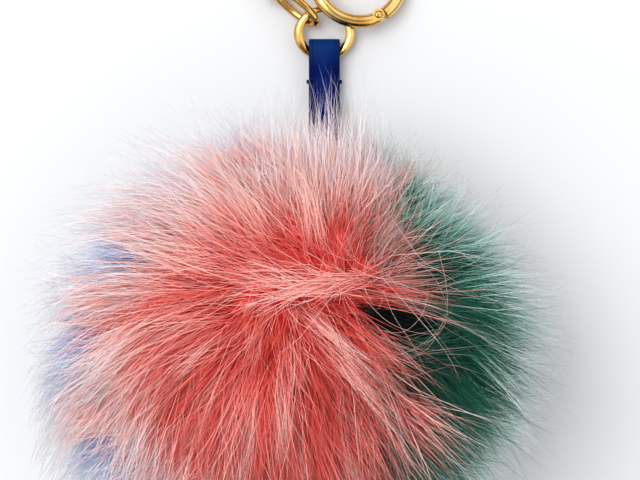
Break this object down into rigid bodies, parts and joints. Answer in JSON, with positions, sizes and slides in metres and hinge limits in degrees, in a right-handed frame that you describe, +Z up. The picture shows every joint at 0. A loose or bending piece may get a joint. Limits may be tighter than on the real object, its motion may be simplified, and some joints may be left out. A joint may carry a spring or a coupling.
{
  "type": "fur pom pom bag charm",
  "caption": "Round fur pom pom in coral, green and blue panels on a folded leather strap, with a small ring, a chain and a spring-gate ring.",
  "frame": {"origin": "middle of the small flat spot that the ball of fur rests on", "axes": "+Y from the ball towards its strap and rings, +Z up from the surface it lies on, +X to the right seen from above"},
  "size_m": [0.1423, 0.1899, 0.1126],
  "materials": {
    "coral_fur": "long dyed fur, coral pink with pale tips",
    "green_fur": "long dyed fur, emerald green with pale tips",
    "blue_fur": "long dyed fur, blue with pale tips",
    "navy_leather": "smooth, cut edges painted",
    "navy_thread": "waxed thread",
    "gold": "polished gold plate"
  },
  "bodies": {
    "charm": {"fur_coral": "coral_fur", "fur_green": "green_fur", "fur_blue": "blue_fur", "strap": "navy_leather", "strap_tack_left": "navy_thread", "strap_tack_right": "navy_thread", "small_ring": "gold", "chain_link_a": "gold", "chain_link_b": "gold", "chain_link_c": "gold", "spring_ring": "gold", "hinge_pin": "gold"},
    "gate": {"ring_gate": "gold"}
  },
  "joints": [
    {"name": "gate_hinge", "type": "hinge", "parent": "charm", "child": "gate", "pos_m": [0.02165, 0.09379, 0.00569], "axis": [0.1801, 0.1485, 0.9724], "range_deg": [0, 35], "stiffness_Nm_per_rad": 0.01, "springref_deg": -17.19}
  ]
}
